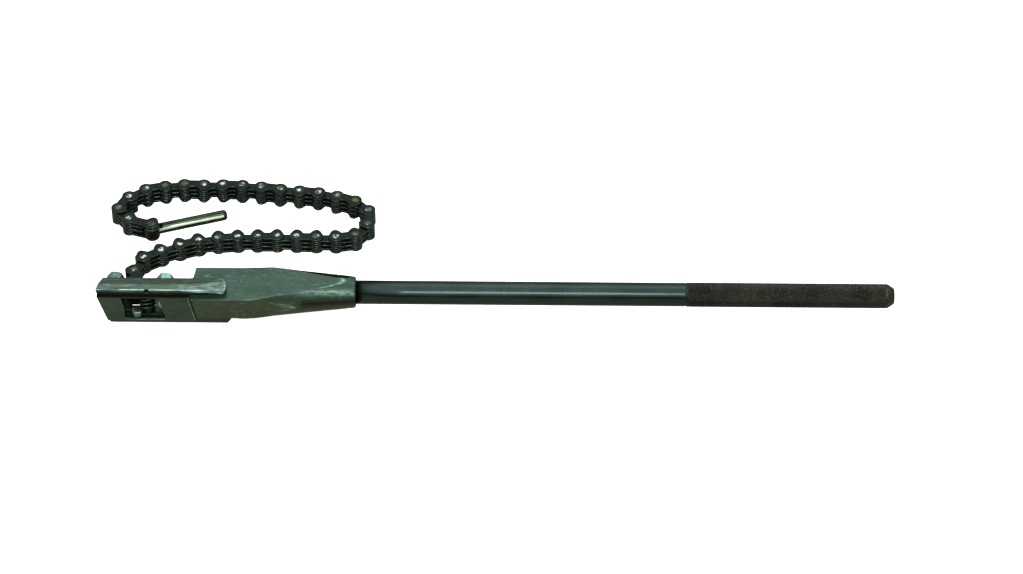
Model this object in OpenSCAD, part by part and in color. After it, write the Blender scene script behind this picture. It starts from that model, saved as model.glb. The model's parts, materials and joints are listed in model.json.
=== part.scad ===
// Chain wrench: a long bar handle with a forged head, a two-rail jaw and a toothed leaf chain.
// X runs from the nose of the jaw to the end of the grip, Y runs away from the web, Z is up.
// The tool lies on its lower jaw rail, and every chain rivet stands along Z.

/* [Handle] */
// Radius of the plain handle bar
bar_r = 9.525; // [8:0.1:12]
// Radius over the knurled grip
grip_r = 9.85; // [8:0.05:12.4]
// Distance from the nose datum to the free end of the bar
bar_end_x = 640; // [560:1:760]
// Length of the knurled grip, with its end chamfer
grip_length = 166; // [80:1:220]
// Length of the chamfer at the end of the bar
end_chamfer = 5.2; // [1:0.1:8]
// Depth of the bar's spigot inside the head
spigot_depth = 38; // [20:1:45]

/* [Forged head] */
// Radius of the neck where the bar enters
neck_r = 12.6; // [11.5:0.1:14]
// Distance from the nose datum to the end of the neck
neck_x = 209.6; // [200:0.1:220]
// Distance of the front flat from the handle axis
front_flat = 20.9; // [19:0.1:22]
// Distance of the back flat from the handle axis
back_flat = 16.7; // [14:0.1:18]
// Half the thickness between the upper and lower flats
half_thick = 10.2; // [9:0.05:11]
// Distance of the tongue's back face from the handle axis
tongue_back = 4.5; // [3:0.1:6]

/* [Jaw] */
// Half the height over both rails
rail_top = 20.8; // [18:0.1:23]
// Distance of the rails' front face from the handle axis
rail_front = 17.4; // [16:0.1:19]
// Distance of the rails' back face from the handle axis
rail_back = 6.3; // [5:0.1:8]
// Half the height of the web
web_half = 13.45; // [12.5:0.05:15]
// Thickness of the web
web_thick = 5.5; // [4:0.1:7]
// How far the jaw's raked ends move back for each millimetre down
rake = 0.186; // [0:0.001:0.3]
// End of the upper rail from the nose datum
rail_end_x = 107.4; // [95:0.1:115]

/* [Chain] */
// Distance between two rivets
pitch = 15.875; // [14:0.005:18]
// Distance between the two rivets of the end link
end_pitch = 20; // [16:0.5:24]
// Thickness of one plate
plate_t = 2.05; // [1.2:0.05:2.1]
// Distance from one plate lane to the next
lane = 2.15; // [1.95:0.05:2.2]
// Radius of a rivet's shank
rivet_r = 2.5; // [2:0.05:2.7]
// Running clearance between a rivet and an inner plate
running_fit = 0.06; // [0.05:0.01:0.1]
// Gap between a rivet and the outer plates that it holds
rivet_gap = 0.02; // [0.01:0.01:0.04]
// Radius of a rivet's head
rivet_head_r = 3.35; // [3:0.05:3.8]
// Height of a rivet's head
rivet_head_h = 0.95; // [0.5:0.05:1.2]
// Radius of a plate's round end
plate_r = 5.7; // [4.8:0.1:5.8]
// Height of a tooth's tip over the rivet line
tooth_h = 7.4; // [6:0.1:7.6]
// Height of the chain's middle lane over the handle axis
chain_z = 1.7; // [0:0.1:1.8]

/* [Tail rod] */
// Radius of the tail rod
rod_r = 4.4; // [3:0.1:4.5]
// Length of the tail rod from its hinge rivet
rod_length = 62.5; // [40:0.5:80]
// Radius of the flat eye at the hinge
eye_r = 6.4; // [5:0.1:7]

/* [Fasteners] */
// Radius of a jaw bolt's shank
bolt_r = 3.95; // [3:0.05:4.2]
// Size across the flats of a bolt head
bolt_flats = 12.7; // [11:0.1:13.5]
// Height of the rear bolt's head
bolt_head_h = 8; // [5:0.1:9]
// Height of the front bolt's head
front_head_h = 8.8; // [5:0.1:9]
// Thickness of a washer
washer_t = 1.6; // [1:0.1:2]
// Radius of the anchor pin
anchor_r = 2.5; // [2:0.05:2.6]
// Size across the flats of the stop screw's head
stop_flats = 9; // [7:0.1:9.5]

/* [Hidden] */
// The nose tip and the rail's rake set where the jaw starts.
nose_x = 2.7;
nose_rake = 0.274;
split_x = 77.6;
split_gap = 0.5;
shoulder_x = 79.3;
tongue_x = 50.1;
web_inner = -front_flat + web_thick;
rail_inner = half_thick + 0.05;
rear_bolt_x = 56.2;
front_bolt_x = 16;
nose_block_x = 23;
ledge_x = 30.4;
shelf_x = 49.9;
shelf_y = -4.4;
shelf_h = 3;
stop = [35, -15.3];
stop_top = -5.5;
anchor = [44, -12];
anchor_top = 17;
set_screw_z = 15.6;
seat_y = tongue_back + washer_t;
link_count = 32;
// Turn at each hinge in degrees, anchor first, the way the chain lies when it is laid out.
turns = [134, -38, -29, -36, -6, -5, -9, -6, -3, -1, -2, 0, 1, 11, 41, 38, 46,
  24, 5, 8, 0, -2, 3, 4, 3, -2, 9, 6, 20, 27, 67, 34];
rod_turn = 35.5;
// The middle of the outline's box on the surface that the tool lies on.
centre = [(nose_x + 0.46 + bar_end_x) / 2, 49.84, -rail_top];

function lean(z) = nose_x - 0.5 + nose_rake * (rail_top - z);
function split_at(z) = split_x + rake * (web_half - z);
function heading(i) = i == 0 ? 0 : heading(i - 1) + turns[i - 1];
function reach(i) = i == link_count ? end_pitch : pitch;
function pin_at(i) = i == 0 ? anchor
  : pin_at(i - 1) + reach(i) * [cos(heading(i)), sin(heading(i))];
function lane_z(k) = chain_z + (k - 3) * lane - plate_t / 2;

$fn = 48;
eps = 0.01;

// ---- shared helpers ----

module in_frame() {
  translate(-centre)
    children();
}

// A shape drawn in X and Z, made thick from one Y to another.
module side_slab(y0, y1) {
  translate([0, y1, 0])
    rotate([90, 0, 0])
      linear_extrude(y1 - y0)
        children();
}

// A section drawn in Y and Z, run along X.
module run_x(x0, x1) {
  translate([x0, 0, 0])
    rotate([90, 0, 90])
      linear_extrude(x1 - x0)
        children();
}

module rod_y(x, z, y0, y1, r) {
  translate([x, y0, z])
    rotate([-90, 0, 0])
      cylinder(h = y1 - y0, r = r);
}

module rod_x(x0, x1, r) {
  translate([x0, 0, 0])
    rotate([0, 90, 0])
      cylinder(h = x1 - x0, r = r);
}

// ---- handle ----

// The neck flares into the head in three straight tapers.
module head_round() {
  rotate([0, 90, 0])
    rotate_extrude()
      polygon([[0, 72], [27, 72], [23.6, 124], [19.6, 145], [17.2, 164],
        [neck_r, neck_x - 1], [neck_r - 0.8, neck_x], [0, neck_x]]);
}

module head_plan() {
  polygon([[split_x - 2, -front_flat], [120, -front_flat], [166, -17.3], [180, -30],
    [230, -30], [230, back_flat], [shoulder_x + 1.6, back_flat],
    [shoulder_x, tongue_back], [split_x - 2, tongue_back]]);
}

module head_side() {
  polygon([[split_at(half_thick) + split_gap, half_thick], [112, half_thick], [230, 14.6], [230, -14.6], [112, -half_thick],
    [split_at(-half_thick) + split_gap, -half_thick]]);
}

module head_body() {
  intersection() {
    head_round();
    linear_extrude(80, center = true) head_plan();
    side_slab(-40, 40) head_side();
  }
}

module tongue() {
  translate([tongue_x, web_inner + 0.05, -half_thick])
    cube([44, tongue_back - web_inner - 0.05, 2 * half_thick]);
}

module handle_head() {
  color("darkslategray") in_frame()
    difference() {
      union() {
        head_body();
        tongue();
      }
      rod_y(rear_bolt_x, 0, -30, 30, bolt_r + 0.05);
      rod_x(neck_x - spigot_depth, neck_x + 1, bar_r);
    }
}

module handle_bar() {
  grip_x = bar_end_x - grip_length;
  color("dimgray") in_frame()
    rotate([0, 90, 0])
      rotate_extrude()
        polygon([[0, neck_x - spigot_depth], [bar_r, neck_x - spigot_depth],
          [bar_r, grip_x - 0.4], [grip_r, grip_x], [grip_r, bar_end_x - end_chamfer],
          [grip_r - 3.4, bar_end_x], [0, bar_end_x]]);
}

// ---- jaw ----

module jaw_plan() {
  polygon([[nose_x, -front_flat - 1], [nose_x, -18.3], [9, -5.9], [9, 20],
    [200, 20], [200, -front_flat - 1]]);
}

module web_side() {
  polygon([[lean(web_half), web_half], [split_at(web_half), web_half],
    [split_at(-web_half), -web_half], [lean(-web_half), -web_half]]);
}

module window_side() {
  polygon([[23, 11.6], [25.5, 0], [25.5, -11.6], [58.3, -11.6], [53.6, 11.6]]);
}

// One rail: its section is run along X, its end is round in plan.
module rail(section, end_x) {
  half_w = (rail_front - rail_back) / 2;
  mid_y = -(rail_front + rail_back) / 2;
  intersection() {
    run_x(0, end_x + 1) polygon(section);
    union() {
      translate([0, -rail_front, -30]) cube([end_x - half_w, 2 * half_w, 60]);
      translate([end_x - half_w, mid_y, -30]) cylinder(h = 60, r = half_w);
    }
    side_slab(-30, 30)
      polygon([[lean(30), 30], [200, 30], [200, -30], [lean(-30), -30]]);
  }
}

// The dished land that opens out of the upper rail's chamfer towards its end.
module rail_dish() {
  translate([70, -13.3, rail_top])
    rotate([41.3, 6.6, 0])
      translate([-60, -60, 0])
        cube([120, 120, 40]);
}

module jaw() {
  upper = [[-rail_front, rail_inner], [-rail_front, 17.4], [-13.3, rail_top],
    [-rail_back, rail_top], [-rail_back, rail_inner]];
  lower = [[-rail_front, -rail_inner], [-rail_front, -18.3], [-14.9, -rail_top],
    [-rail_back, -rail_top], [-rail_back, -rail_inner]];
  color("darkslategray") in_frame()
    difference() {
      intersection() {
        union() {
          difference() {
            rail(upper, rail_end_x);
            rail_dish();
          }
          rail(lower, rail_end_x + 3.4);
          side_slab(-front_flat, web_inner) web_side();
        }
        linear_extrude(80, center = true) jaw_plan();
      }
      side_slab(-front_flat - 1, web_inner + eps) window_side();
      rod_y(front_bolt_x, 0, -19.4, 0, bolt_r + 0.05);
      translate([anchor.x, anchor.y, -30]) cylinder(h = 30 + anchor_top, r = anchor_r + 0.02);
      rod_y(anchor.x, set_screw_z, -20, anchor.y, 1.62);
      rod_y(anchor.x, set_screw_z, -20, -16.3, 2.3);
      translate([stop.x, stop.y, -17.5]) cylinder(h = 8, r = 2.05);
    }
}

module nose_block() {
  color("darkslategray") in_frame()
    difference() {
      intersection() {
        union() {
          translate([0, web_inner + 0.05, -half_thick])
            cube([nose_block_x, tongue_back - web_inner - 0.05, 2 * half_thick]);
          // A low ledge beside the window, and a narrow shelf that runs on under the chain.
          translate([nose_block_x - 1, web_inner + 0.9, -half_thick])
            cube([ledge_x - nose_block_x + 1, tongue_back - web_inner - 0.9, shelf_h]);
          translate([nose_block_x - 1, shelf_y, -half_thick])
            cube([shelf_x - nose_block_x + 1, tongue_back - shelf_y, shelf_h]);
        }
        linear_extrude(80, center = true) jaw_plan();
        side_slab(-30, 30)
          polygon([[lean(30), 30], [200, 30], [200, -30], [lean(-30), -30]]);
      }
      rod_y(front_bolt_x, 0, -30, 30, bolt_r + 0.35);
    }
}

// ---- fasteners ----

// A hexagon bolt along Y: head on the back of the tongue, turned a little from level.
module hex_bolt(x, tip_y, head_h, turn) {
  color("silver") in_frame() {
    rod_y(x, 0, tip_y, seat_y, bolt_r);
    intersection() {
      translate([x, seat_y, 0])
        rotate([0, turn, 0])
          rotate([-90, 0, 0])
            cylinder(h = head_h, r = bolt_flats / sqrt(3), $fn = 6);
      translate([x, seat_y, 0])
        rotate([-90, 0, 0])
          rotate_extrude()
            polygon([[0, 0], [7.4, 0], [7.4, head_h - 0.5], [6.8, head_h], [0, head_h]]);
    }
  }
}

module bolt_washer(x) {
  color("silver") in_frame()
    difference() {
      rod_y(x, 0, tongue_back, seat_y, 7.4);
      rod_y(x, 0, 0, 20, bolt_r + 0.1);
    }
}

module jaw_bolt_rear() hex_bolt(rear_bolt_x, web_inner, bolt_head_h, 8);
module jaw_bolt_front() hex_bolt(front_bolt_x, -19.2, front_head_h, 10);
module washer_rear() bolt_washer(rear_bolt_x);
module washer_front() bolt_washer(front_bolt_x);

module anchor_pin() {
  color("gray") in_frame()
    translate([anchor.x, anchor.y, -rail_top + 0.3])
      cylinder(h = rail_top + anchor_top - 0.4, r = anchor_r);
}

module anchor_set_screw() {
  color("dimgray") in_frame()
    rod_y(anchor.x, set_screw_z, -16.1, anchor.y - anchor_r - 0.05, 1.58);
}

// A small hexagon screw that stands on the lower rail beside the chain's first link.
module stop_screw() {
  seat_z = -rail_inner + 0.05;
  color("silver") in_frame()
    translate([stop.x, stop.y, 0]) {
      translate([0, 0, -17]) cylinder(h = seat_z + 17.5, r = 2);
      intersection() {
        translate([0, 0, seat_z]) rotate([0, 0, 12])
          cylinder(h = stop_top - seat_z, r = stop_flats / sqrt(3), $fn = 6);
        rotate_extrude()
          polygon([[0, seat_z], [4.8, seat_z], [4.8, stop_top - 0.6], [4, stop_top], [0, stop_top]]);
      }
    }
}

module spacer(z0, z1) {
  color("dimgray") in_frame()
    difference() {
      translate([anchor.x, anchor.y, z0]) cylinder(h = z1 - z0, r = 4.2);
      translate([anchor.x, anchor.y, z0 - 1]) cylinder(h = z1 - z0 + 2, r = anchor_r + 0.05);
    }
}

module anchor_spacer_upper() spacer(lane_z(5) + plate_t + 0.08, rail_inner - 0.02);
module anchor_spacer_lower() spacer(-rail_inner + 0.02, lane_z(1) - 0.08);

// ---- chain ----

// A plate's outline: a blunt tooth over each rivet on the left of the link, a round end below it.
module plate_outline(len, hole_a, hole_b) {
  difference() {
    union() {
      circle(r = plate_r);
      translate([len, 0]) circle(r = plate_r);
      polygon([[-5, 2.6], [-3.1, 5.9], [-1.2, tooth_h], [1.2, tooth_h], [3.3, 5.9], [5.4, 3.3],
        [len - 5.4, 3.3], [len - 3.3, 5.9], [len - 1.2, tooth_h], [len + 1.2, tooth_h],
        [len + 3.1, 5.9], [len + 5, 2.6], [len + 3.6, -4.1], [len - 3.2, -4.3],
        [3.2, -4.3], [-3.6, -4.1]]);
    }
    circle(r = hole_a);
    translate([len, 0]) circle(r = hole_b);
  }
}

// A short filler beside the rod's eye, round at the rivet and square at the other end.
module filler(k) {
  translate([0, 0, lane_z(k)])
    linear_extrude(plate_t)
      difference() {
        union() {
          circle(r = plate_r);
          translate([0, -3.6]) square([12.9, 6.9]);
        }
        circle(r = rivet_r + rivet_gap);
      }
}

module plate(k, len, hole_a, hole_b) {
  translate([0, 0, lane_z(k)])
    linear_extrude(plate_t)
      plate_outline(len, hole_a, hole_b);
}

// A rivet with a low domed head over each outer plate.
module rivet(x) {
  top = 3 * lane + plate_t / 2 + rivet_gap;
  translate([x, 0, chain_z])
    rotate_extrude()
      polygon([[0, -top - rivet_head_h], [1.9, -top - rivet_head_h],
        [rivet_head_r, -top - 0.35], [rivet_head_r, -top], [rivet_r, -top],
        [rivet_r, top], [rivet_head_r, top], [rivet_head_r, top + 0.35],
        [1.9, top + rivet_head_h], [0, top + rivet_head_h]]);
}

module at_link(i) {
  in_frame()
    translate([pin_at(i - 1).x, pin_at(i - 1).y, 0])
      rotate([0, 0, heading(i)])
        children();
}

// An inner link: three plates that turn on their neighbours' rivets.
module inner_link(i) {
  color("#2b302e") at_link(i)
    for (k = [1, 3, 5])
      plate(k, pitch, rivet_r + running_fit, rivet_r + running_fit);
}

// An outer link: four plates riveted on two rivets.
module outer_link(i) {
  color("#2b302e") at_link(i)
    for (k = [0, 2, 4, 6])
      plate(k, pitch, rivet_r + rivet_gap, rivet_r + rivet_gap);
  color("lightgray") at_link(i) {
    rivet(0);
    rivet(pitch);
  }
}

// The last link: its two outermost plates hold the eye of the tail rod.
module end_link(i) {
  color("#2b302e") at_link(i) {
    for (k = [0, 6])
      plate(k, end_pitch, rivet_r + rivet_gap, rivet_r + rivet_gap);
    for (k = [2, 4]) filler(k);
  }
  color("lightgray") at_link(i) {
    rivet(0);
    rivet(end_pitch);
  }
}

module link(i) {
  if (i == link_count) end_link(i);
  else if (i % 2 == 1) inner_link(i);
  else outer_link(i);
}

module link_01() link(1);
module link_02() link(2);
module link_03() link(3);
module link_04() link(4);
module link_05() link(5);
module link_06() link(6);
module link_07() link(7);
module link_08() link(8);
module link_09() link(9);
module link_10() link(10);
module link_11() link(11);
module link_12() link(12);
module link_13() link(13);
module link_14() link(14);
module link_15() link(15);
module link_16() link(16);
module link_17() link(17);
module link_18() link(18);
module link_19() link(19);
module link_20() link(20);
module link_21() link(21);
module link_22() link(22);
module link_23() link(23);
module link_24() link(24);
module link_25() link(25);
module link_26() link(26);
module link_27() link(27);
module link_28() link(28);
module link_29() link(29);
module link_30() link(30);
module link_31() link(31);
module link_32() link(32);

// The tail rod: a round rod with a flat eye, hinged on the end link's last rivet.
module tail_rod() {
  eye_h = 5 * lane - 0.2;
  end = pin_at(link_count);
  color("lightgray") in_frame()
    translate([end.x, end.y, chain_z])
      rotate([0, 0, heading(link_count) + rod_turn])
        difference() {
          union() {
            cylinder(h = eye_h, r = eye_r, center = true);
            rotate([0, 90, 0])
              rotate_extrude()
                polygon([[0, 0], [rod_r, 0], [rod_r, rod_length - 0.8],
                  [rod_r - 0.8, rod_length], [0, rod_length]]);
          }
          cylinder(h = 30, r = rivet_r + running_fit, center = true);
        }
}

handle_head();
handle_bar();
jaw();
nose_block();
jaw_bolt_rear();
jaw_bolt_front();
washer_rear();
washer_front();
stop_screw();
anchor_pin();
anchor_set_screw();
anchor_spacer_upper();
anchor_spacer_lower();
link_01();
link_02();
link_03();
link_04();
link_05();
link_06();
link_07();
link_08();
link_09();
link_10();
link_11();
link_12();
link_13();
link_14();
link_15();
link_16();
link_17();
link_18();
link_19();
link_20();
link_21();
link_22();
link_23();
link_24();
link_25();
link_26();
link_27();
link_28();
link_29();
link_30();
link_31();
link_32();
tail_rod();
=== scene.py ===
"""Looks of the chain wrench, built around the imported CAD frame.

Blender's lengths are metres. The numbers in outlines, profiles and tables are millimetres, and MM or at()
turns them into metres.
"""

import json
import math

import bmesh
import bpy
from mathutils import Matrix, Vector, noise


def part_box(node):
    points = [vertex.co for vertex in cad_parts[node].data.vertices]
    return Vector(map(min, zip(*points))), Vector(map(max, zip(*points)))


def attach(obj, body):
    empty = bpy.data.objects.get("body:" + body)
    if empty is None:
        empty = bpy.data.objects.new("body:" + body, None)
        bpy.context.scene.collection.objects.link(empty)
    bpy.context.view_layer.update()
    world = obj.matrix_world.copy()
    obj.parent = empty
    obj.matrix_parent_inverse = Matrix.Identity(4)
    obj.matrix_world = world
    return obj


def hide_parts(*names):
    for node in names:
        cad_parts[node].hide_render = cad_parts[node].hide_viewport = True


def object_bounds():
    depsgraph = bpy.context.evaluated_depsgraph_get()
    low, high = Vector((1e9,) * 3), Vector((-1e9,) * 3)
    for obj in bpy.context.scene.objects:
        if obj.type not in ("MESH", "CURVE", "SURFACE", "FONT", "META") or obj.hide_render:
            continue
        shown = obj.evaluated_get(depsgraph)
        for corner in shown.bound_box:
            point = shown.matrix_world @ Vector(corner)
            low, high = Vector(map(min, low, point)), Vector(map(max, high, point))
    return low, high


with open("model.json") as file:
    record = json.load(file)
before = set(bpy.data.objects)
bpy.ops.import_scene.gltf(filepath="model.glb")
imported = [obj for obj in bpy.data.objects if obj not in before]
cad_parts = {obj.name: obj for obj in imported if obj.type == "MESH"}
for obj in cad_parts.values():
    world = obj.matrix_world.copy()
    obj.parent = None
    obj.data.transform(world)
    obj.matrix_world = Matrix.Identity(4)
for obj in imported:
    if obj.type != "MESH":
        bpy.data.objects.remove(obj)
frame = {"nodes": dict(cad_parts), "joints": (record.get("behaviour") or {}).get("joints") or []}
cad_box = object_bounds()

MM = 0.001
ROOT2 = math.sqrt(2)
# Positions along the handle's axis, from the jaw's nose.
BAR_END, GRIP_X, NECK_X = 640.0, 474.0, 209.6
scene = bpy.context.scene
bar_lo, bar_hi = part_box("handle_bar")
# The nose datum on the handle's axis, from which every position is measured.
DATUM = Vector((bar_hi.x - BAR_END * MM, (bar_lo.y + bar_hi.y) / 2, (bar_lo.z + bar_hi.z) / 2))


def at(x, y, z):
    """A point in the row frame from millimetres along, across and over the handle's axis."""
    return DATUM + Vector((x, y, z)) * MM


# ---- camera ----

ELEVATION, AZIMUTH, DISTANCE = math.radians(45), math.radians(-0.62), 3.0
SENSOR_MM, LENS_MM = 36, 131.96
# The point that the camera looks at, and how far the camera is raised square to its line of sight.
AIM_X, RAISE = 334, 0.00504
look = Vector((
    math.sin(AZIMUTH) * math.cos(ELEVATION),
    math.cos(AZIMUTH) * math.cos(ELEVATION),
    -math.sin(ELEVATION),
))
right = Vector((math.cos(AZIMUTH), -math.sin(AZIMUTH), 0))
up = right.cross(look)
cam_data = bpy.data.cameras.new("camera")
cam = bpy.data.objects.new("camera", cam_data)
scene.collection.objects.link(cam)
cam_data.sensor_width = SENSOR_MM
cam_data.lens = LENS_MM
cam_data.clip_end = 50
eye = at(AIM_X, 0, 0) - look * DISTANCE + up * RAISE
cam.matrix_world = Matrix((
    (right.x, up.x, -look.x, eye.x),
    (right.y, up.y, -look.y, eye.y),
    (right.z, up.z, -look.z, eye.z),
    (0, 0, 0, 1),
))
scene.camera = cam
scene.view_settings.view_transform = "Standard"
scene.view_settings.look = "None"


# ---- material nodes ----


class Nodes:
    """A short way to write one material's node tree."""

    def __init__(self, name):
        self.material = bpy.data.materials.new(name)
        self.material.use_nodes = True
        self.tree = self.material.node_tree
        self.tree.nodes.clear()
        self.out = self.tree.nodes.new("ShaderNodeOutputMaterial")
        self.shader = self.tree.nodes.new("ShaderNodeBsdfPrincipled")
        self.link(self.shader.outputs[0], self.out.inputs["Surface"])
        coord = self.tree.nodes.new("ShaderNodeTexCoord")
        self.place = coord.outputs["Object"]

    def link(self, a, b):
        self.tree.links.new(a, b)

    def put(self, socket, value):
        """Links a socket's value, or sets a number or colour on it."""
        if isinstance(value, bpy.types.NodeSocket):
            self.link(value, socket)
        elif hasattr(value, "__len__") and len(value) == 3 and socket.type == "RGBA":
            socket.default_value = (*value, 1)
        else:
            socket.default_value = value

    def mapped(self, scale, shift=(0, 0, 0)):
        """The piece's own coordinates, scaled and shifted."""
        n = self.tree.nodes.new("ShaderNodeMapping")
        self.link(self.place, n.inputs["Vector"])
        n.inputs["Scale"].default_value = scale
        n.inputs["Location"].default_value = shift
        return n.outputs[0]

    def noise(self, size, detail=4, rough=0.55, vector=None, stretch=(1, 1, 1), shift=(0, 0, 0)):
        """Noise whose features are about that many millimetres across."""
        n = self.tree.nodes.new("ShaderNodeTexNoise")
        n.inputs["Scale"].default_value = 1
        n.inputs["Detail"].default_value = detail
        n.inputs["Roughness"].default_value = rough
        k = 1 / (size * MM)
        self.link(vector or self.mapped([k / s for s in stretch], shift), n.inputs["Vector"])
        return n.outputs["Fac"]

    def ramp(self, fac, lo, hi, a=0.0, b=1.0):
        """a below lo, b above hi and a smooth step between."""
        n = self.tree.nodes.new("ShaderNodeMapRange")
        n.interpolation_type = "SMOOTHSTEP"
        self.put(n.inputs["Value"], fac)
        for name, v in (("From Min", lo), ("From Max", hi), ("To Min", a), ("To Max", b)):
            n.inputs[name].default_value = v
        return n.outputs[0]

    def math(self, op, a, b=0.0):
        n = self.tree.nodes.new("ShaderNodeMath")
        n.operation = op
        self.put(n.inputs[0], a)
        self.put(n.inputs[1], b)
        return n.outputs[0]

    def mix(self, fac, a, b):
        """Colour a where fac is 0, colour b where it is 1."""
        n = self.tree.nodes.new("ShaderNodeMix")
        n.data_type = "RGBA"
        self.put(n.inputs[0], fac)
        self.put(n.inputs[6], a)
        self.put(n.inputs[7], b)
        return n.outputs[2]

    def pointed(self, lo, hi):
        """1 on convex edges."""
        n = self.tree.nodes.new("ShaderNodeNewGeometry")
        return self.ramp(n.outputs["Pointiness"], lo, hi)

    def scattered(self, size):
        """Coordinates in steps of size, moved to another place for each object."""
        info = self.tree.nodes.new("ShaderNodeObjectInfo")
        shift = self.tree.nodes.new("ShaderNodeVectorMath")
        shift.operation = "MULTIPLY_ADD"
        self.link(self.mapped([1 / (size * MM)] * 3), shift.inputs[0])
        shift.inputs[1].default_value = (1, 1, 1)
        many = self.tree.nodes.new("ShaderNodeCombineXYZ")
        self.link(self.math("MULTIPLY", info.outputs["Random"], 40.0), many.inputs[0])
        self.link(many.outputs[0], shift.inputs[2])
        return shift.outputs[0]

    def upward(self, lo, hi, a=0.0, b=1.0):
        """A ramp over how far a face looks upwards."""
        n = self.tree.nodes.new("ShaderNodeNewGeometry")
        sep = self.tree.nodes.new("ShaderNodeSeparateXYZ")
        self.link(n.outputs["Normal"], sep.inputs[0])
        return self.ramp(sep.outputs[2], lo, hi, a, b)

    def attribute(self, name):
        """A value that the mesh carries at its vertices, or 0 where it has none."""
        n = self.tree.nodes.new("ShaderNodeAttribute")
        n.attribute_name = name
        return n.outputs["Fac"]

    def band(self, value, lo, hi, soft):
        """1 between two values, with soft ends."""
        rise, fall = (self.ramp(value, edge - soft, edge + soft) for edge in (lo, hi))
        return self.math("SUBTRACT", rise, fall)

    def bump(self, height, strength, distance, normal=None):
        n = self.tree.nodes.new("ShaderNodeBump")
        n.inputs["Strength"].default_value = strength
        n.inputs["Distance"].default_value = distance * MM
        self.put(n.inputs["Height"], height)
        if normal is not None:
            self.link(normal, n.inputs["Normal"])
        return n.outputs[0]

    def finish(self, color, metallic, roughness, normal=None, specular=0.5):
        """Puts the results on the shader."""
        s = self.shader.inputs
        self.put(s["Base Color"], color)
        self.put(s["Metallic"], metallic)
        self.put(s["Roughness"], roughness)
        s["Specular IOR Level"].default_value = specular
        if normal is not None:
            self.link(normal, s["Normal"])
        return self.material


# The third tint is a painted reflection of the floor, for faces that turn downwards.
BLUE_TINT, GREEN_TINT, FLOOR_REFLECTION_TINT = (0.050, 0.062, 0.082), (0.046, 0.074, 0.022), (0.056, 0.060, 0.032)
# A white for painted glints and bare metal, and a black for painted shade.
GLINT_AND_BARE_WHITE, PAINTED_SHADE_BLACK = (0.66, 0.80, 0.74), (0.008, 0.009, 0.007)


def forged(
    name, dark, mid, light, edge, grain=(1, 1, 1), seed=0.0, metallic=0.5, rough=0.42, wear=(0.52, 0.6),
    bump=0.5, flecks=0.5, scratches=0.0, tint=0.5, floor_reflection=0.0,
):
    """Oxidised forging: cloudy scale, fine pits, pale flecks from knocks and bare metal on its edges.

    The mesh's "wear_and_highlight" attribute bares the metal and paints highlights and glints, its "shade"
    attribute paints shade, and faces that turn downwards take a yellowish painted floor reflection.
    """
    n = Nodes(name)
    cloud = n.noise(14, 5, 0.6, stretch=grain, shift=(seed, 0, 0))
    streak = n.noise(1.6, 5, 0.65, stretch=grain, shift=(0, seed, 0))
    pits = n.noise(0.5, 3, 0.6)
    base = n.mix(n.ramp(cloud, 0.32, 0.68), dark, mid)
    base = n.mix(n.math("MULTIPLY", n.ramp(streak, 0.48, 0.75), 0.55), base, light)
    cold = n.ramp(n.noise(5, 3, 0.6, stretch=(3, 1, 1), shift=(seed, 2, 8)), 0.48, 0.62)
    base = n.mix(n.math("MULTIPLY", cold, tint), base, BLUE_TINT)
    green = n.ramp(n.noise(6, 3, 0.6, stretch=(2, 1, 1), shift=(9, seed, 1)), 0.50, 0.64)
    base = n.mix(n.math("MULTIPLY", green, tint), base, GREEN_TINT)
    # Painted floor reflection: a yellowish tint on faces that turn downwards.
    base = n.mix(n.upward(0.2, 0.6, floor_reflection, 0.0), base, FLOOR_REFLECTION_TINT)
    fleck = n.ramp(n.noise(1.1, 2, 0.5, shift=(3 + seed, 1, 2)), 0.66, 0.76)
    patch = n.ramp(n.noise(22, 2, 0.5, shift=(seed, 7, 1)), 0.46, 0.62)
    fleck = n.math("MULTIPLY", n.math("MULTIPLY", fleck, patch), flecks)
    base = n.mix(fleck, base, edge)
    scratch = n.ramp(n.noise(0.7, 3, 0.6, stretch=(14, 1, 1), shift=(1, seed, 5)), 0.60, 0.72)
    base = n.mix(n.math("MULTIPLY", scratch, scratches), base, edge)
    # The first attribute bares metal and paints highlights; the second paints shade.
    wear_and_highlight, shade = n.attribute("wear_and_highlight"), n.attribute("shade")
    bare = n.math("MULTIPLY", n.pointed(*wear), n.math("SUBTRACT", 1.0, shade))
    lit_and_worn = n.math("MULTIPLY", n.math("MAXIMUM", bare, wear_and_highlight), n.ramp(streak, 0.38, 0.62, 0.1, 1.15))
    base = n.mix(lit_and_worn, base, edge)
    # Painted glints, with bare metal, where the first attribute is full.
    glint_and_bare = n.math("MULTIPLY", n.ramp(wear_and_highlight, 0.85, 1.0), n.ramp(streak, 0.44, 0.60, 0.0, 0.75))
    base = n.mix(glint_and_bare, base, GLINT_AND_BARE_WHITE)
    # Painted shade: near black where the shade attribute is set.
    base = n.mix(shade, base, PAINTED_SHADE_BLACK)
    roughness = n.ramp(streak, 0.25, 0.75, rough + 0.1, rough - 0.08)
    roughness = n.math("ADD", roughness, n.math("MULTIPLY", shade, 0.3))
    normal = n.bump(pits, bump * 0.5, 0.05)
    normal = n.bump(streak, bump, 0.12, normal)
    return n.finish(base, n.ramp(shade, 0, 1, metallic, 1.0), roughness, normal)


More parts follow.
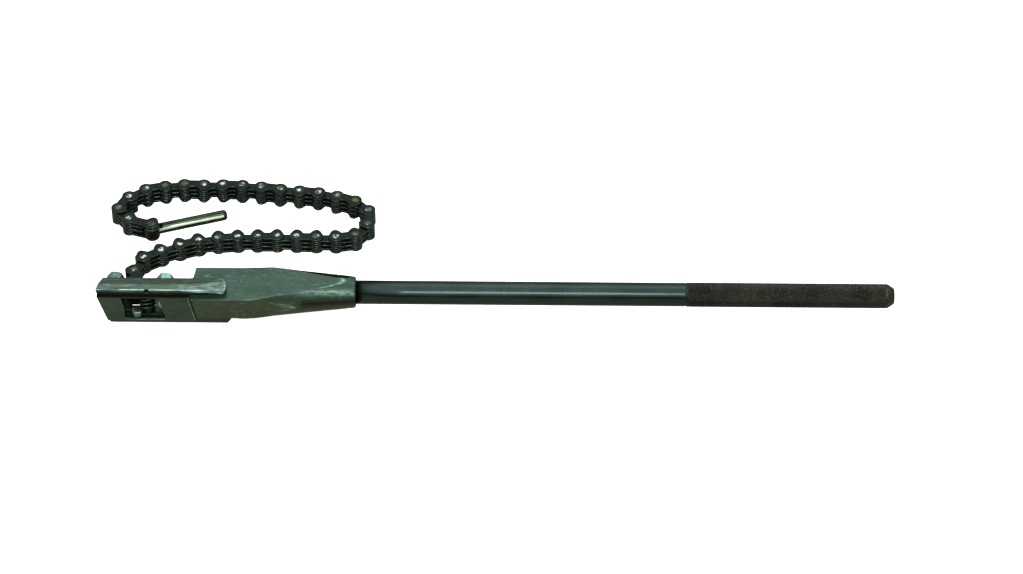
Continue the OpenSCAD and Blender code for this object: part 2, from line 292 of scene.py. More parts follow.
def bar_finish(name):
    """Drawn bar with a blued, oiled skin: fine lines along it, soft blotches and small bright scuffs."""
    n = Nodes(name)
    lines = n.noise(0.5, 4, 0.6, stretch=(60, 1, 1))
    blotch = n.noise(16, 4, 0.6, stretch=(2.5, 1, 1))
    scuff = n.ramp(n.noise(1.3, 3, 0.6, stretch=(3.5, 1, 1), shift=(2, 3, 4)), 0.64, 0.76)
    base = n.mix(n.ramp(blotch, 0.35, 0.65), (0.026, 0.038, 0.035), (0.036, 0.052, 0.049))
    base = n.mix(n.math("MULTIPLY", n.ramp(lines, 0.4, 0.7), 0.4), base, (0.055, 0.072, 0.066))
    base = n.mix(n.math("MULTIPLY", scuff, 0.35), base, (0.12, 0.15, 0.14))
    roughness = n.ramp(blotch, 0.3, 0.7, 0.22, 0.30)
    return n.finish(base, 1.0, roughness, n.bump(lines, 0.12, 0.03))


def grip_finish(name):
    """Knurling with dark oil and brown dirt in it, and bare, bright points."""
    n = Nodes(name)
    cloud = n.noise(18, 4, 0.6)
    speck = n.noise(0.9, 2, 0.6)
    base = n.mix(n.ramp(cloud, 0.35, 0.65), (0.010, 0.010, 0.006), (0.024, 0.024, 0.016))
    base = n.mix(n.ramp(speck, 0.58, 0.70, 0, 0.75), base, (0.13, 0.14, 0.10))
    base = n.mix(n.pointed(0.53, 0.66), base, (0.045, 0.045, 0.033))
    return n.finish(base, 0.6, n.ramp(speck, 0.3, 0.7, 0.5, 0.3), None, 0.4)


def bright(name, color, tint, rough, size=3.0, metallic=1.0):
    """Bare or plated metal with a light clouding and fine marks."""
    n = Nodes(name)
    cloud = n.noise(size, 4, 0.6)
    fine = n.noise(0.35, 3, 0.6)
    base = n.mix(n.ramp(cloud, 0.35, 0.68), color, tint)
    roughness = n.ramp(cloud, 0.3, 0.7, rough - 0.05, rough + 0.08)
    return n.finish(base, metallic, roughness, n.bump(fine, 0.15, 0.03))


ROD_R, ROD_LEN, EYE_OUT = 4.4, 62.5, 6.4


def rod_finish(name):
    """Drawn rod, black, with painted reflections in grey bands along its upper back and lower front and in an
    olive band above its middle, a painted highlight along its near side and a darker rounded tip.

    The bands run along the rod. side goes from -1 to 1 across it, from its lower front to its upper back.
    """
    n = Nodes(name)
    sep = n.tree.nodes.new("ShaderNodeSeparateXYZ")
    n.link(n.place, sep.inputs[0])
    grain = n.noise(1.2, 3, 0.6, stretch=(14, 1, 1))
    side = n.math("MULTIPLY", n.math("ADD", sep.outputs[1], sep.outputs[2]), 1 / (ROD_R * ROOT2 * MM))
    side = n.math("ADD", side, n.ramp(grain, 0.3, 0.7, -0.07, 0.07))
    # Painted reflections: grey bands along the upper back and lower front, and an olive band above the middle.
    base = n.mix(n.band(side, 0.60, 0.84, 0.05), (0.006, 0.008, 0.007), (0.045, 0.055, 0.05))
    base = n.mix(n.band(side, -0.82, -0.62, 0.05), base, (0.05, 0.07, 0.05))
    base = n.mix(n.band(side, 0.02, 0.42, 0.07), base, (0.10, 0.135, 0.075))
    # Painted highlight along the near side, where the rod is also rougher and less metallic.
    lit_and_worn = n.band(side, -0.44, 0.02, 0.06)
    base = n.mix(lit_and_worn, base, (0.82, 0.90, 0.72))
    end = n.ramp(sep.outputs[0], (ROD_LEN - 3.7) * MM, (ROD_LEN - 2.9) * MM)
    base = n.mix(end, base, (0.02, 0.028, 0.024))
    roughness = n.math("ADD", n.math("MULTIPLY", lit_and_worn, 0.16), 0.2)
    return n.finish(base, n.ramp(lit_and_worn, 0, 1, 1.0, 0.55), roughness)


def pin_finish(name):
    """Peened rivet heads, each different: dark green and brown staining with a small painted glint."""
    n = Nodes(name)
    cloud = n.noise(1, 1, 0.5, vector=n.scattered(3.4))
    stain = n.noise(1, 2, 0.5, vector=n.scattered(5.0))
    base = n.mix(n.ramp(stain, 0.42, 0.58), (0.045, 0.072, 0.038), (0.085, 0.085, 0.045))
    # Painted glint: a small bright, smoother spot on each head.
    base = n.mix(n.ramp(cloud, 0.55, 0.61), base, (0.40, 0.49, 0.40))
    return n.finish(base, 1.0, n.ramp(cloud, 0.3, 0.7, 0.26, 0.14), n.bump(cloud, 0.5, 0.2))


def plate_finish(name, dark, mid, metallic, rough, specular):
    """Heat-treated chain plate, which differs a little from link to link."""
    n = Nodes(name)
    cloud = n.noise(1, 4, 0.6, vector=n.scattered(2.2))
    fine = n.noise(0.3, 3, 0.6)
    base = n.mix(n.ramp(cloud, 0.35, 0.65), dark, mid)
    roughness = n.ramp(cloud, 0.3, 0.7, rough + 0.08, rough - 0.06)
    return n.finish(base, metallic, roughness, n.bump(fine, 0.5, 0.04), specular)


HEAD = forged(
    "forged_head", (0.018, 0.044, 0.030), (0.026, 0.064, 0.044), (0.048, 0.100, 0.080), (0.20, 0.32, 0.27),
    grain=(3, 1, 1), seed=1.5, rough=0.34, wear=(0.514, 0.56), flecks=1.3, scratches=0.5, tint=0.4, floor_reflection=0.7,
)
JAW = forged(
    "forged_jaw", (0.021, 0.035, 0.026), (0.034, 0.058, 0.045), (0.060, 0.098, 0.080), (0.16, 0.30, 0.25),
    grain=(9, 1, 1), seed=4.0, metallic=0.55, rough=0.36, wear=(0.512, 0.56), bump=1.0, flecks=0.6,
    scratches=0.6, floor_reflection=0.35,
)
BLOCK = forged(
    "forged_block", (0.030, 0.034, 0.024), (0.045, 0.048, 0.035), (0.07, 0.075, 0.06), (0.14, 0.16, 0.14),
    seed=7.0, wear=(0.51, 0.55),
)
BAR = bar_finish("bar_steel")
GRIP = grip_finish("bar_grip")
PLATE = plate_finish("chain_steel", (0.005, 0.007, 0.007), (0.013, 0.017, 0.017), 0.7, 0.36, 0.2)
PLATE_EDGE = plate_finish("chain_edge", (0.013, 0.019, 0.016), (0.052, 0.070, 0.052), 0.8, 0.34, 0.35)
RIVET = pin_finish("pin_steel")
ROD = rod_finish("rod_steel")
ZINC = bright("zinc", (0.27, 0.46, 0.36), (0.20, 0.35, 0.27), 0.34, size=2.0, metallic=0.5)
ZINC_WORN = bright("zinc_worn", (0.22, 0.36, 0.29), (0.10, 0.15, 0.12), 0.36, size=1.2)
ZINC_DULL = bright("zinc_dull", (0.06, 0.09, 0.09), (0.15, 0.23, 0.20), 0.24, size=2.5, metallic=0.7)
SOCKET = bright("socket_steel", (0.03, 0.035, 0.03), (0.05, 0.055, 0.05), 0.4)
SPACER = bright("spacer_steel", (0.03, 0.033, 0.03), (0.05, 0.055, 0.048), 0.45)


# ---- meshes ----


def sharpen(me, degrees):
    """Keeps the shading crisp over edges sharper than that."""
    me.set_sharp_from_angle(angle=math.radians(degrees))


def finished(name, bm, materials):
    """A smooth-shaded mesh out of a bmesh in metres."""
    me = bpy.data.meshes.new(name)
    bmesh.ops.recalc_face_normals(bm, faces=bm.faces)
    bm.to_mesh(me)
    bm.free()
    for m in materials:
        me.materials.append(m)
    for p in me.polygons:
        p.use_smooth = True
    return me


def add(name, me, node, body="root", place=None):
    """Puts a mesh in the scene as a piece of that body, in place of that node."""
    ob = bpy.data.objects.new(name, me)
    scene.collection.objects.link(ob)
    if place is not None:
        ob.matrix_world = place
    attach(ob, body)
    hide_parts(node)
    return ob


def turns(count):
    """The angles of that many equal steps round a circle."""
    return [2 * math.pi * i / count for i in range(count)]


def loft(bm, rings, closed_ends=True):
    """Joins rings of vertices in order, each a closed loop or a single point."""
    for a, b in zip(rings, rings[1:]):
        n = len(a)
        if len(b) == 1:
            for i in range(n):
                bm.faces.new((a[i], a[(i + 1) % n], b[0]))
        elif n == 1:
            for i in range(len(b)):
                bm.faces.new((a[0], b[(i + 1) % len(b)], b[i]))
        else:
            for i in range(n):
                bm.faces.new((a[i], a[(i + 1) % n], b[(i + 1) % n], b[i]))
    if closed_ends:
        for ring in (rings[0], rings[-1]):
            if len(ring) > 2:
                bm.faces.new(ring)


def lathe(bm, profile, origin, axis, count):
    """Turns a profile of (distance along the axis, radius) pairs about an axis through the origin."""
    a = {"x": Matrix(((0, 0, 1), (1, 0, 0), (0, 1, 0))), "z": Matrix.Identity(3)}[axis]
    rings = []
    for h, r in profile:
        if r < 1e-6:
            rings.append([bm.verts.new(origin + a @ Vector((0, 0, h)) * MM)])
            continue
        rings.append([
            bm.verts.new(origin + a @ Vector((r * math.cos(t), r * math.sin(t), h)) * MM)
            for t in turns(count)
        ])
    loft(bm, rings)


def rounded(points, steps):
    """A closed outline of (x, y, corner radius) points with its corners rounded."""
    out = []
    n = len(points)
    for i, (x, y, radius) in enumerate(points):
        p = Vector((x, y))
        a, b = Vector(points[i - 1][:2]) - p, Vector(points[(i + 1) % n][:2]) - p
        half = a.angle(b) / 2
        cut = min(radius / math.tan(half), 0.45 * a.length, 0.45 * b.length) if radius else 0
        if cut < 1e-4:
            out.append(p)
            continue
        s, e = p + a.normalized() * cut, p + b.normalized() * cut
        for k in range(steps + 1):
            t = k / steps
            out.append(s * (1 - t) ** 2 + p * 2 * t * (1 - t) + e * t * t)
    return out


def inset(points, d):
    """The outline moved inwards; it runs counterclockwise."""
    out = []
    n = len(points)
    for i, p in enumerate(points):
        a, b = (p - points[i - 1]).normalized(), (points[(i + 1) % n] - p).normalized()
        na, nb = Vector((-a.y, a.x)), Vector((-b.y, b.x))
        m = (na + nb).normalized()
        out.append(p + m * d / max(0.6, m.dot(na)))
    return out


def arc(cx, cy, r, a0, a1, count):
    """Points along an arc between two angles in degrees."""
    angles = (math.radians(a0 + (a1 - a0) * i / count) for i in range(count + 1))
    return [Vector((cx + r * math.cos(t), cy + r * math.sin(t))) for t in angles]


EYE_R, TOOTH = 5.7, 7.4


def plate_outline(length):
    """Round ends, a blunt tooth over each rivet on the left and a shallow waist on the right."""
    lower = math.degrees(math.asin(4.3 / EYE_R))
    pts = arc(0, 0, EYE_R, 153, 360 - lower, 22)
    pts += arc(length, 0, EYE_R, 180 + lower, 360 + 27, 22)
    tooth = [(3.1, 5.9, 0.5), (1.2, TOOTH, 0.45), (-1.2, TOOTH, 0.45), (-3.3, 5.9, 0.5), (-5.4, 3.3, 1.0)]
    teeth = [(length + x, y, r) for x, y, r in tooth] + [(-x, y, r) for x, y, r in reversed(tooth)]
    whole = [(p.x, p.y, 0) for p in pts] + teeth
    return rounded(whole, 3)


def plate(bm, outline, holes, z0, z1, bevel=0.28):
    """A punched plate with a rolled edge; its bevels carry the second material."""
    small = inset(outline, bevel)
    outer = [(small, z0), (outline, z0 + bevel), (outline, z1 - bevel), (small, z1)]
    rings = [[bm.verts.new(Vector((p.x, p.y, z)) * MM) for p in pts] for pts, z in outer]
    loft(bm, rings, False)
    bm.faces.ensure_lookup_table()
    total, n = len(bm.faces), len(outline)
    for k, f in enumerate(bm.faces[total - 3 * n:]):
        f.material_index = 0 if n <= k < 2 * n else 1
    walls = []
    for cx, r in holes:
        circle = arc(cx, 0, r, 0, 360, 20)[:-1]
        pair = [[bm.verts.new(Vector((p.x, p.y, z)) * MM) for p in circle] for z in (z0, z1)]
        loft(bm, pair, False)
        walls.append(pair)
    for side in (0, 1):
        loops = [rings[0] if side == 0 else rings[-1]] + [w[side] for w in walls]
        edges = []
        for loop in loops:
            edges += [bm.edges.get((v, loop[(i + 1) % len(loop)])) for i, v in enumerate(loop)]
        made = bmesh.ops.triangle_fill(bm, use_beauty=True, use_dissolve=False, edges=edges, normal=(0, 0, 1))
        for f in made["geom"]:
            if isinstance(f, bmesh.types.BMFace):
                f.material_index = 0


def apply(ob):
    """The mesh that a piece shows, with its modifiers applied."""
    graph = bpy.context.evaluated_depsgraph_get()
    graph.update()
    return bpy.data.meshes.new_from_object(ob.evaluated_get(graph))


def wedge(points):
    """A convex cutter from points in millimetres."""
    bm = bmesh.new()
    for p in points:
        bm.verts.new(at(*p))
    bmesh.ops.convex_hull(bm, input=bm.verts)
    me = bpy.data.meshes.new("cutter")
    bm.to_mesh(me)
    bm.free()
    ob = bpy.data.objects.new("cutter", me)
    scene.collection.objects.link(ob)
    return ob


FINE_SWELL = 0.03


def forge(
    node, name, material, voxel, rounds, swell, seed, cutters=(), extras=(), wear_and_highlights=None, shades=None,
):
    """The CAD shape remade as a forging: its edges rolled over and its skin slightly uneven.

    extras are hulls of points that are joined to it. wear_and_highlights and shades give the two attributes,
    bare metal with painted highlights and painted shade, for a point in millimetres from the datum.
    """
    me = frame["nodes"][node].data.copy()
    ob = bpy.data.objects.new(name, me)
    scene.collection.objects.link(ob)
    bm = bmesh.new()
    bm.from_mesh(me)
    bmesh.ops.remove_doubles(bm, verts=bm.verts, dist=2e-6)
    for points in extras:
        bmesh.ops.convex_hull(bm, input=[bm.verts.new(at(*p)) for p in points])
    bm.to_mesh(me)
    bm.free()
    for c in cutters:
        m = ob.modifiers.new("cut", "BOOLEAN")
        m.operation, m.object, m.solver = "DIFFERENCE", c, "EXACT"
    m = ob.modifiers.new("skin", "REMESH")
    m.mode, m.voxel_size = "VOXEL", voxel * MM
    m = ob.modifiers.new("round", "SMOOTH")
    m.factor, m.iterations = 0.5, rounds
    me = apply(ob)
    ob.modifiers.clear()
    for c in cutters:
        bpy.data.objects.remove(c)
    normals = [v.normal.copy() for v in me.vertices]
    offset = Vector((seed, seed * 2, -seed))
    for v, nrm in zip(me.vertices, normals):
        big = noise.noise(v.co / (13 * MM) + offset)
        small = noise.noise(v.co / (2.4 * MM) - offset)
        v.co += nrm * (swell * big + FINE_SWELL * small) * MM
    for attribute, value in (("wear_and_highlight", wear_and_highlights), ("shade", shades)):
        if value is not None:
            layer = me.attributes.new(attribute, "FLOAT", "POINT")
            layer.data.foreach_set("value", [value((v.co - DATUM) / MM) for v in me.vertices])
    me.materials.clear()
    me.materials.append(material)
    for p in me.polygons:
        p.use_smooth = True
        p.material_index = 0
    ob.data = me
    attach(ob, "root")
    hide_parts(node)


# ---- handle ----

BAR_R, GRIP_R = 9.525, 9.85

bm = bmesh.new()
# The bar starts inside the neck and ends inside the grip, past a shallow groove.
lathe(bm, [
    (NECK_X - 8, BAR_R), (NECK_X + 40, BAR_R), (300, BAR_R), (380, BAR_R), (GRIP_X - 2.2, BAR_R),
    (GRIP_X - 1.6, BAR_R - 0.05), (GRIP_X - 0.9, BAR_R - 0.22), (GRIP_X + 1, BAR_R - 0.22),
], DATUM, "x", 96)
add("bar_shaft", finished("bar_shaft", bm, [BAR]), "handle_bar")


# The grip's end: how far back from the bar's end, and the radius there.
GRIP_END = [(5.9, 9.72), (5.3, 9.6), (4.9, 9.36), (1.0, 6.85), (0.45, 6.3), (0.12, 5.6), (0.0, 4.6)]


def knurled(bm):
    """Diamond knurling: peaks on a lattice of crossing grooves, then the chamfered and rounded end."""
    around, step, groove = 84, 0.78, 0.36
    rows = int((BAR_END - 6.4 - GRIP_X) / step)
    rings = []
    for j in range(rows + 1):
        fade = min(1.0, j / 2, (rows - j) / 2)
        ring = []
        for i, t in enumerate(turns(around)):
            deep = groove * fade if (i + j) % 2 == 0 else 0.0
            jitter = 0.05 * noise.noise(Vector((i * 0.9, j * 0.9, 3.3)))
            r = GRIP_R - deep - 0.1 * (1 - fade) + jitter
            ring.append(bm.verts.new(at(GRIP_X + j * step, r * math.cos(t), r * math.sin(t))))
        rings.append(ring)
    for j, (a, b) in enumerate(zip(rings, rings[1:])):
        for i in range(around):
            k = (i + 1) % around
            if (i + j) % 2 == 0:
                bm.faces.new((a[i], a[k], b[k]))
                bm.faces.new((a[i], b[k], b[i]))
            else:
                bm.faces.new((a[i], a[k], b[i]))
                bm.faces.new((a[k], b[k], b[i]))
    end = []
    for back, r in GRIP_END:
        x = BAR_END - back
        end.append([bm.verts.new(at(x, r * math.cos(t), r * math.sin(t))) for t in turns(around)])
    loft(bm, [rings[-1]] + end, False)
    bm.faces.new(end[-1])
    bm.faces.new(rings[0])


bm = bmesh.new()
knurled(bm)
me = finished("bar_grip", bm, [GRIP])
sharpen(me, 14)
add("bar_grip", me, "handle_bar")

# ---- head, jaw and nose block ----

# The slanted joint between the web and the head, the web's half height and its front face.
SPLIT_X, RAKE, WEB_HALF, FRONT = 77.6, 0.186, 13.45, -20.9


def split_at(z):
    """Where the slanted joint is at that height."""
    return SPLIT_X + RAKE * (WEB_HALF - z)


def split_cutter(gap, side, wide, reach):
    """Cuts the chamfer along the slanted joint between the web and the head."""
    pts = []
    for z in (-reach, reach):
        x = split_at(z) + gap
        inner = x + side * 0.6
        pts += [(inner, FRONT - 1, z), (x - side * wide - side, FRONT - 1, z), (inner, FRONT + wide + 0.6, z)]
    return wedge(pts)


def heel_cutter():
    """Rounds off the foot of the lower rail's end."""
    side = [(104.2, -21.5), (104.2, -20.9), (107.5, -20.0), (110.6, -17.2), (113, -14), (113, -21.5)]
    return wedge([(x, y, z) for x, z in side for y in (-24, 0)])


def between(x, table):
    """The value at x of a line through a table's points."""
    for (x0, y0), (x1, y1) in zip(table, table[1:]):
        if x <= x1:
            return y0 + (y1 - y0) * max(0.0, (x - x0) / (x1 - x0))
    return table[-1][1]


def clamp(value):
    """The value, held between 0 and 1."""
    return min(1.0, max(0.0, value))


def near(value, target, reach):
    """1 at the target, falling to 0 at that distance from it."""
    return max(0.0, 1 - abs(value - target) / reach)


# Along the head: the round skin's radius, the flats' half height and how far the front flat is from the axis.
ROUND = [(72, 27), (124, 23.6), (145, 19.6), (164, 17.2), (208.6, 12.6), (209.6, 11.8)]
FLAT_Z = [(72, 10.2), (112, 10.2), (230, 14.6)]
FLAT_FRONT = [(72, 20.9), (120, 20.9), (166, 17.3), (180, 30)]
# Along the head: how wide the painted shade along the far side of its top is.
BORDER = [(148, 0), (165, 0.9), (181, 2.1), (193, 2.7), (203, 2.3), (206, 0)]
LIP_WIDE = 0.5


def head_highlights_and_wear(p):
    """1 on the thin bright edge where a flat runs out into the round neck, which is wear, and a painted
    highlight in a stripe along the neck.
    """
    best = 0.0
    radius = between(p.x, ROUND)
    skin = abs(math.hypot(p.y, p.z) - radius)
    top_gap = abs(abs(p.z) - between(p.x, FLAT_Z))
    front_gap = abs(-p.y - between(p.x, FLAT_FRONT))
    for gap, start, run in ((top_gap, 150, 42), (front_gap, 138, 20)):
        far = max(skin, gap * 1.6)
        if far < LIP_WIDE and p.x > start:
            best = max(best, (1 - far / LIP_WIDE) * min(1.0, (p.x - start) / run))
    # Painted highlight: a bright stripe along the near side of the neck.
    if skin < 0.6 and p.x > 160:
        low = -(p.y + p.z) / (ROOT2 * radius)
        best = max(best, 0.75 * near(low, 0.12, 0.2) * min(1.0, (p.x - 160) / 30))
    return best


def head_shades(p):
    """Painted shade along the far side of the top and under the near side of the neck, and a painted shadow
    along the top front edge beside the jaw's rail.
    """
    radius, flat, front = (between(p.x, table) for table in (ROUND, FLAT_Z, FLAT_FRONT))
    skin = abs(math.hypot(p.y, p.z) - radius)
    # Painted shade: a dark border along the far side of the top.
    far = 0.0
    if p.y > 0 and p.z > 0 and p.x > 148:
        # The highest that the section reaches towards the upper back.
        edge = radius
        if flat * ROOT2 <= radius:
            edge = (math.sqrt(radius * radius - flat * flat) + flat) / ROOT2
        far = clamp((between(p.x, BORDER) - edge + (p.y + p.z) / ROOT2) / 0.35)
        far *= clamp((math.degrees(math.atan2(p.z, p.y)) - 30) / 12)
    # Painted shade under the near side of the neck.
    under = 0.0
    if skin < 0.7 and p.y < 0:
        low = -(p.y + p.z) / (ROOT2 * radius)
        off_flat = max(clamp((abs(-p.y - front) - 0.5) / 1.5), clamp((p.x - 158) / 14))
        under = 0.75 * near(low, 0.60, 0.34) * clamp((p.x - 128) / 24) * off_flat
    # Painted shadow along the top front edge, beside the jaw's rail.
    rail_shadow = 0.0
    if p.z > 0:
        rail_shadow = near(p.y, -front, 1.1) * near(p.z, flat, 1.1) * clamp((126 - p.x) / 8)
    return min(1.0, max(far, under, 0.9 * rail_shadow))


# The middle of the upper rail's round end, and the rails' front face.
RAIL_END_X, RAIL_END_Y, RAIL_FRONT = 101.85, -11.85, -16.9


def jaw_highlights_and_wear(p):
    """Painted highlights on the upper rail's chamfer, along its foot and along the joint, and a painted
    reflection in the rail's scoop with a highlight on its rim, all with some bare metal.
    """
    # Painted highlight: the bright line along the foot of the chamfer and the rail's front just under it.
    foot = 1.5 * near(p.y + p.z, 0.75, 0.75) if p.y < -15.6 and p.z > 15.8 else 0.0
    if 15.2 < p.z < 17.4 and p.y < RAIL_FRONT:
        foot = max(foot, 0.55)
    # Painted highlight: the chamfer a little lighter.
    face = 0.15 if p.y < -13.5 and p.z > 17.6 else 0.0
    # Painted highlight along the joint's chamfer.
    joint = near(p.x, split_at(p.z) - 0.9, 0.7) if p.y < -19.6 and abs(p.z) < 13 else 0.0
    # Painted reflection in the scoop, and a painted highlight on its rim.
    scoop = 0.2 * min(1.0, (p.x - 74) / 14) if p.x > 74 and 12 < p.z < 20.4 and p.y > -17.2 else 0.0
    if p.x > 99 and p.z > 15.5:
        scoop = max(scoop, near(math.hypot(p.x - RAIL_END_X, p.y - RAIL_END_Y), 4.7, 1.2))
    return min(1.0, max(foot, face, joint, scoop))


def jaw_shades(p):
    """Painted shade on the ledge beside the web, under the rail's front, along its back edge, lightly on its
    top, and inside the window.
    """
    ledge = near(p.z, 13.4, 1.1) if p.y < -17.0 and p.z > 0 else 0.0
    under = 0.55 if p.y < RAIL_FRONT and 13.9 < p.z < 15.2 else 0.0
    back = near(p.y, -6.3, 0.9) if p.z > 19.5 else 0.0
    top = 0.22 if p.z > 20.2 and p.y > -13.0 else 0.0
    inside = 0.7 * clamp((p.y + 19.4) / 1.2) if abs(p.z) < 13.4 and 18 < p.x < 62 else 0.0
    return min(1.0, max(1.2 * ledge, under, back, top, inside))


forge(
    "handle_head", "head_forging", HEAD, voxel=0.55, rounds=5, swell=0.13, seed=3.1,
    cutters=[split_cutter(0.5, -1, 0.9, 14)], wear_and_highlights=head_highlights_and_wear, shades=head_shades,
)
forge(
    "jaw", "jaw_forging", JAW, voxel=0.42, rounds=4, swell=0.07, seed=8.2,
    cutters=[split_cutter(0.0, 1, 1.1, 16), heel_cutter()], wear_and_highlights=jaw_highlights_and_wear, shades=jaw_shades,
)
# A thin piece shaped like a forging flash under the front edge of the nose block's shelf: it stands in for
# shade, darkening the window by hiding the floor behind it.
SHADE_FILLER_SECTION = [(-4.4, -9.5), (-4.4, -11.9), (-2.6, -12.1), (-1.8, -9.5)]
SHADE_FILLER = [(x, y, z) for x in (26, 46) for y, z in SHADE_FILLER_SECTION]
forge(
    "nose_block", "nose_block_forging", BLOCK, voxel=0.5, rounds=4, swell=0.05, seed=5.4,
    # Painted shade over the whole block, which shows only through the window.
    extras=[SHADE_FILLER], shades=lambda p: 0.55,
)

# ---- chain ----

joints = {j["name"]: Vector(j["pos_m"]) for j in frame["joints"]}
LANE, PLATE_T, PITCH, END_PITCH = 2.15, 2.05, 15.875, 20.0
RIVET_R, HEAD_R, HEAD_H, DOME_R, COLLAR_H = 2.5, 3.35, 0.95, 2.85, 0.18
LAST = 32


def plates(name, lanes, length, hole, fillers=()):
    """A link's plates, in lanes counted from the bottom, with short fillers in others."""
    bm = bmesh.new()
    outline = plate_outline(length)
    short = [(p.x, p.y, 0) for p in arc(0, 0, EYE_R, 36, 321, 30)] + [(12.9, -3.6, 0.8), (12.9, 3.3, 0.8)]
    short = rounded(short, 3)
    for k in (*lanes, *fillers):
        z = (k - 3) * LANE - PLATE_T / 2
        holes = [(0, hole)] if k in fillers else [(0, hole), (length, hole)]
        plate(bm, short if k in fillers else outline, holes, z, z + PLATE_T)
    me = finished(name, bm, [PLATE, PLATE_EDGE])
    sharpen(me, 40)
    return me


def rivets(name, length, dark_from=math.inf):
    """Two rivets with peened heads: a flat collar and a dome; past dark_from the heads are black."""
    bm = bmesh.new()
    top = 3 * LANE + PLATE_T / 2
    dome = [(0.0, HEAD_R), (0.1, HEAD_R), (COLLAR_H, HEAD_R - 0.1), (COLLAR_H, 3.0)]
    for t in map(math.radians, (0, 12, 24, 36, 48, 60, 72, 82)):
        dome.append((COLLAR_H + (HEAD_H - COLLAR_H) * math.sin(t), DOME_R * math.cos(t)))
    dome.append((HEAD_H, 0))
    profile = [(-top - h, r) for h, r in reversed(dome)]
    profile += [(-top + 0.01, RIVET_R), (top - 0.01, RIVET_R)]
    profile += [(top + h, r) for h, r in dome]
    for x in (0, length):
        lathe(bm, profile, Vector((x * MM, 0, 0)), "z", 28)
    for f in bm.faces:
        c = f.calc_center_median() / MM
        off_axis = min(math.hypot(c.x, c.y), math.hypot(c.x - length, c.y))
        f.material_index = 1 if off_axis > 2.9 or c.x > dark_from else 0
    me = finished(name, bm, [RIVET, PLATE_EDGE])
    sharpen(me, 50)
    return me


INNER = plates("inner_plates", (1, 3, 5), PITCH, RIVET_R + 0.06)
OUTER = plates("outer_plates", (0, 2, 4, 6), PITCH, RIVET_R + 0.02)
ENDS = plates("end_plates", (0, 6), END_PITCH, RIVET_R + 0.02, (2, 4))
PAIR = rivets("rivet_pair", PITCH)
END_PAIR = rivets("end_rivet_pair", END_PITCH, 10)

for i in range(1, LAST + 1):
    a = joints[f"hinge_{i:02d}"]
    b = joints["rod_hinge" if i == LAST else f"hinge_{i + 1:02d}"]
    place = Matrix.Translation(a) @ Matrix.Rotation(math.atan2(b.y - a.y, b.x - a.x), 4, "Z")
    node = f"link_{i:02d}"
    mesh = ENDS if i == LAST else INNER if i % 2 else OUTER
    add(f"{node}_plates", mesh, node, node, place)
    if i % 2 == 0:
        add(f"{node}_rivets", END_PAIR if i == LAST else PAIR, node, node, place)

# ---- tail rod ----

hinge = joints["rod_hinge"]
# The rod points at the middle of the vertices at its far end.
corners = [v.co.xy for v in frame["nodes"]["tail_rod"].data.vertices]
tip = [c for c in corners if (c - hinge.xy).length > (ROD_LEN - 0.9) * MM]
mid = sum(tip, Vector((0, 0))) / len(tip) - hinge.xy
rod_place = Matrix.Translation(hinge) @ Matrix.Rotation(math.atan2(mid.y, mid.x), 4, "Z")
bm = bmesh.new()
ROUND_LEN, ROUND_R = 2.8, 2.6
profile = [(3.0, ROD_R), (20, ROD_R), (40, ROD_R), (ROD_LEN - ROUND_LEN, ROD_R)]
for t in map(math.radians, (15, 30, 45, 60, 75, 90)):
    profile.append((ROD_LEN - ROUND_LEN + ROUND_LEN * math.sin(t), ROD_R - ROUND_R + ROUND_R * math.cos(t)))
lathe(bm, profile, Vector(), "x", 48)
add("tail_rod_shaft", finished("tail_rod_shaft", bm, [ROD]), "tail_rod", "tail_rod", rod_place)
bm = bmesh.new()
half = (5 * LANE - 0.2) / 2
eye_outline = [Vector((EYE_OUT * math.cos(t), EYE_OUT * math.sin(t))) for t in turns(48)]
plate(bm, eye_outline, [(0, RIVET_R + 0.06)], -half, half, 0.5)
me = finished("tail_rod_eye", bm, [PLATE, PLATE_EDGE])
sharpen(me, 40)
add("tail_rod_eye", me, "tail_rod", "tail_rod", rod_place)

# ---- fasteners: the CAD shapes with their own finishes ----

for node, material in (
    ("jaw_bolt_rear", ZINC), ("washer_rear", ZINC),
    ("jaw_bolt_front", ZINC_DULL), ("washer_front", ZINC_DULL),
    ("stop_screw", ZINC_WORN), ("anchor_pin", RIVET), ("anchor_set_screw", SOCKET),
    ("anchor_spacer_upper", SPACER), ("anchor_spacer_lower", SPACER),
):
    ob = frame["nodes"][node]
    if not ob.material_slots:
        ob.data.materials.append(material)
    for s in ob.material_slots:
        s.material = material

# ---- stage ----

bm = bmesh.new()
bmesh.ops.create_grid(bm, x_segments=2, y_segments=2, size=12)
me = bpy.data.meshes.new("floor")
bm.to_mesh(me)
bm.free()
floor = bpy.data.objects.new("floor", me)
scene.collection.objects.link(floor)
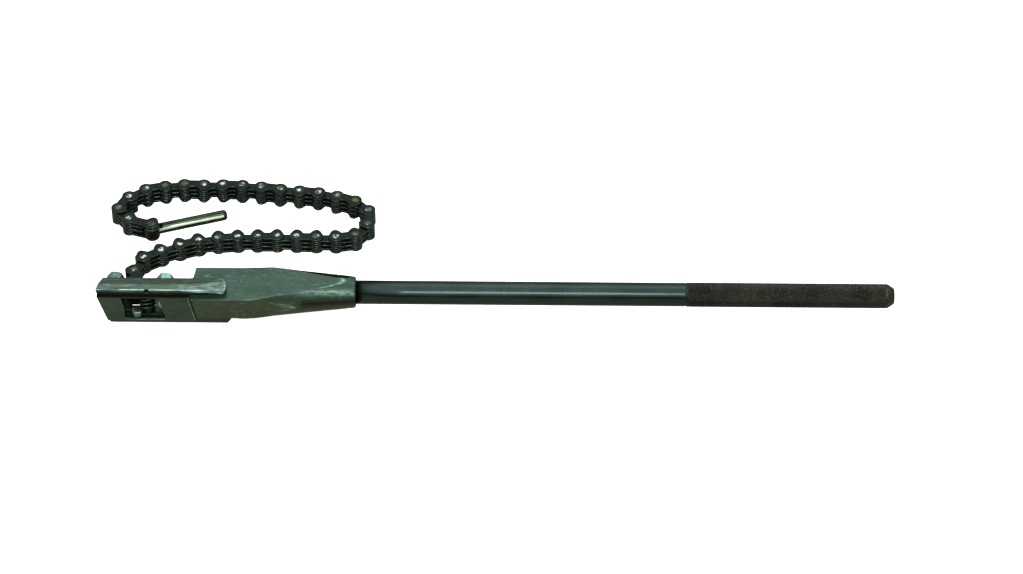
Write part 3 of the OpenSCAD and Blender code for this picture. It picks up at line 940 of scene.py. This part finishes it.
# The floor is plain white to the camera, and a dim grey to every other ray.
n = Nodes("floor")
n.finish((0.93, 0.93, 0.925), 0.0, 0.9, None, 0.1)
n.shader.inputs["Emission Color"].default_value = (1, 1, 1, 1)
n.shader.inputs["Emission Strength"].default_value = 0.85
dim = n.tree.nodes.new("ShaderNodeBsdfDiffuse")
dim.inputs["Color"].default_value = (0.42, 0.42, 0.34, 1)
path = n.tree.nodes.new("ShaderNodeLightPath")
both = n.tree.nodes.new("ShaderNodeMixShader")
n.link(path.outputs["Is Camera Ray"], both.inputs[0])
n.link(dim.outputs[0], both.inputs[1])
n.link(n.shader.outputs[0], both.inputs[2])
n.link(both.outputs[0], n.out.inputs["Surface"])
me.materials.append(n.material)

# A dark horizon and a bright, slightly green sky.
world = bpy.data.worlds.new("studio")
scene.world = world
world.use_nodes = True
tree = world.node_tree
tree.nodes.clear()
output = tree.nodes.new("ShaderNodeOutputWorld")
background = tree.nodes.new("ShaderNodeBackground")
coord = tree.nodes.new("ShaderNodeTexCoord")
sep = tree.nodes.new("ShaderNodeSeparateXYZ")
rise = tree.nodes.new("ShaderNodeMapRange")
sky = tree.nodes.new("ShaderNodeMix")
sky.data_type = "RGBA"
rise.interpolation_type = "SMOOTHSTEP"
rise.inputs["From Min"].default_value = 0.15
rise.inputs["From Max"].default_value = 0.7
sky.inputs[6].default_value = (0.12, 0.125, 0.115, 1)
sky.inputs[7].default_value = (1.42, 1.55, 1.5, 1)
background.inputs["Strength"].default_value = 1.0
for start, end in (
    (coord.outputs["Generated"], sep.inputs[0]),
    (sep.outputs["Z"], rise.inputs["Value"]),
    (rise.outputs[0], sky.inputs[0]),
    (sky.outputs[2], background.inputs["Color"]),
    (background.outputs[0], output.inputs["Surface"]),
):
    tree.links.new(start, end)


def area(name, where, aim, size, radiance, color):
    """A rectangular soft light of that radiance, in metres, aimed at a point."""
    data = bpy.data.lights.new(name, "AREA")
    data.shape = "RECTANGLE"
    data.size, data.size_y = size
    data.energy = radiance * math.pi * size[0] * size[1]
    data.color = color
    ob = bpy.data.objects.new(name, data)
    scene.collection.objects.link(ob)
    ob.location = where
    ob.rotation_euler = (Vector(aim) - Vector(where)).to_track_quat("-Z", "Y").to_euler()


centre = (cad_box[0] + cad_box[1]) / 2
area("front_soft", eye + up * 0.2, centre, (1.0, 0.45), 15.0, (1.0, 1.0, 0.95))
area("back_soft", centre + Vector((0.2, 1.3, 2.6)), centre, (2.4, 1.2), 0.9, (0.92, 1.0, 1.0))
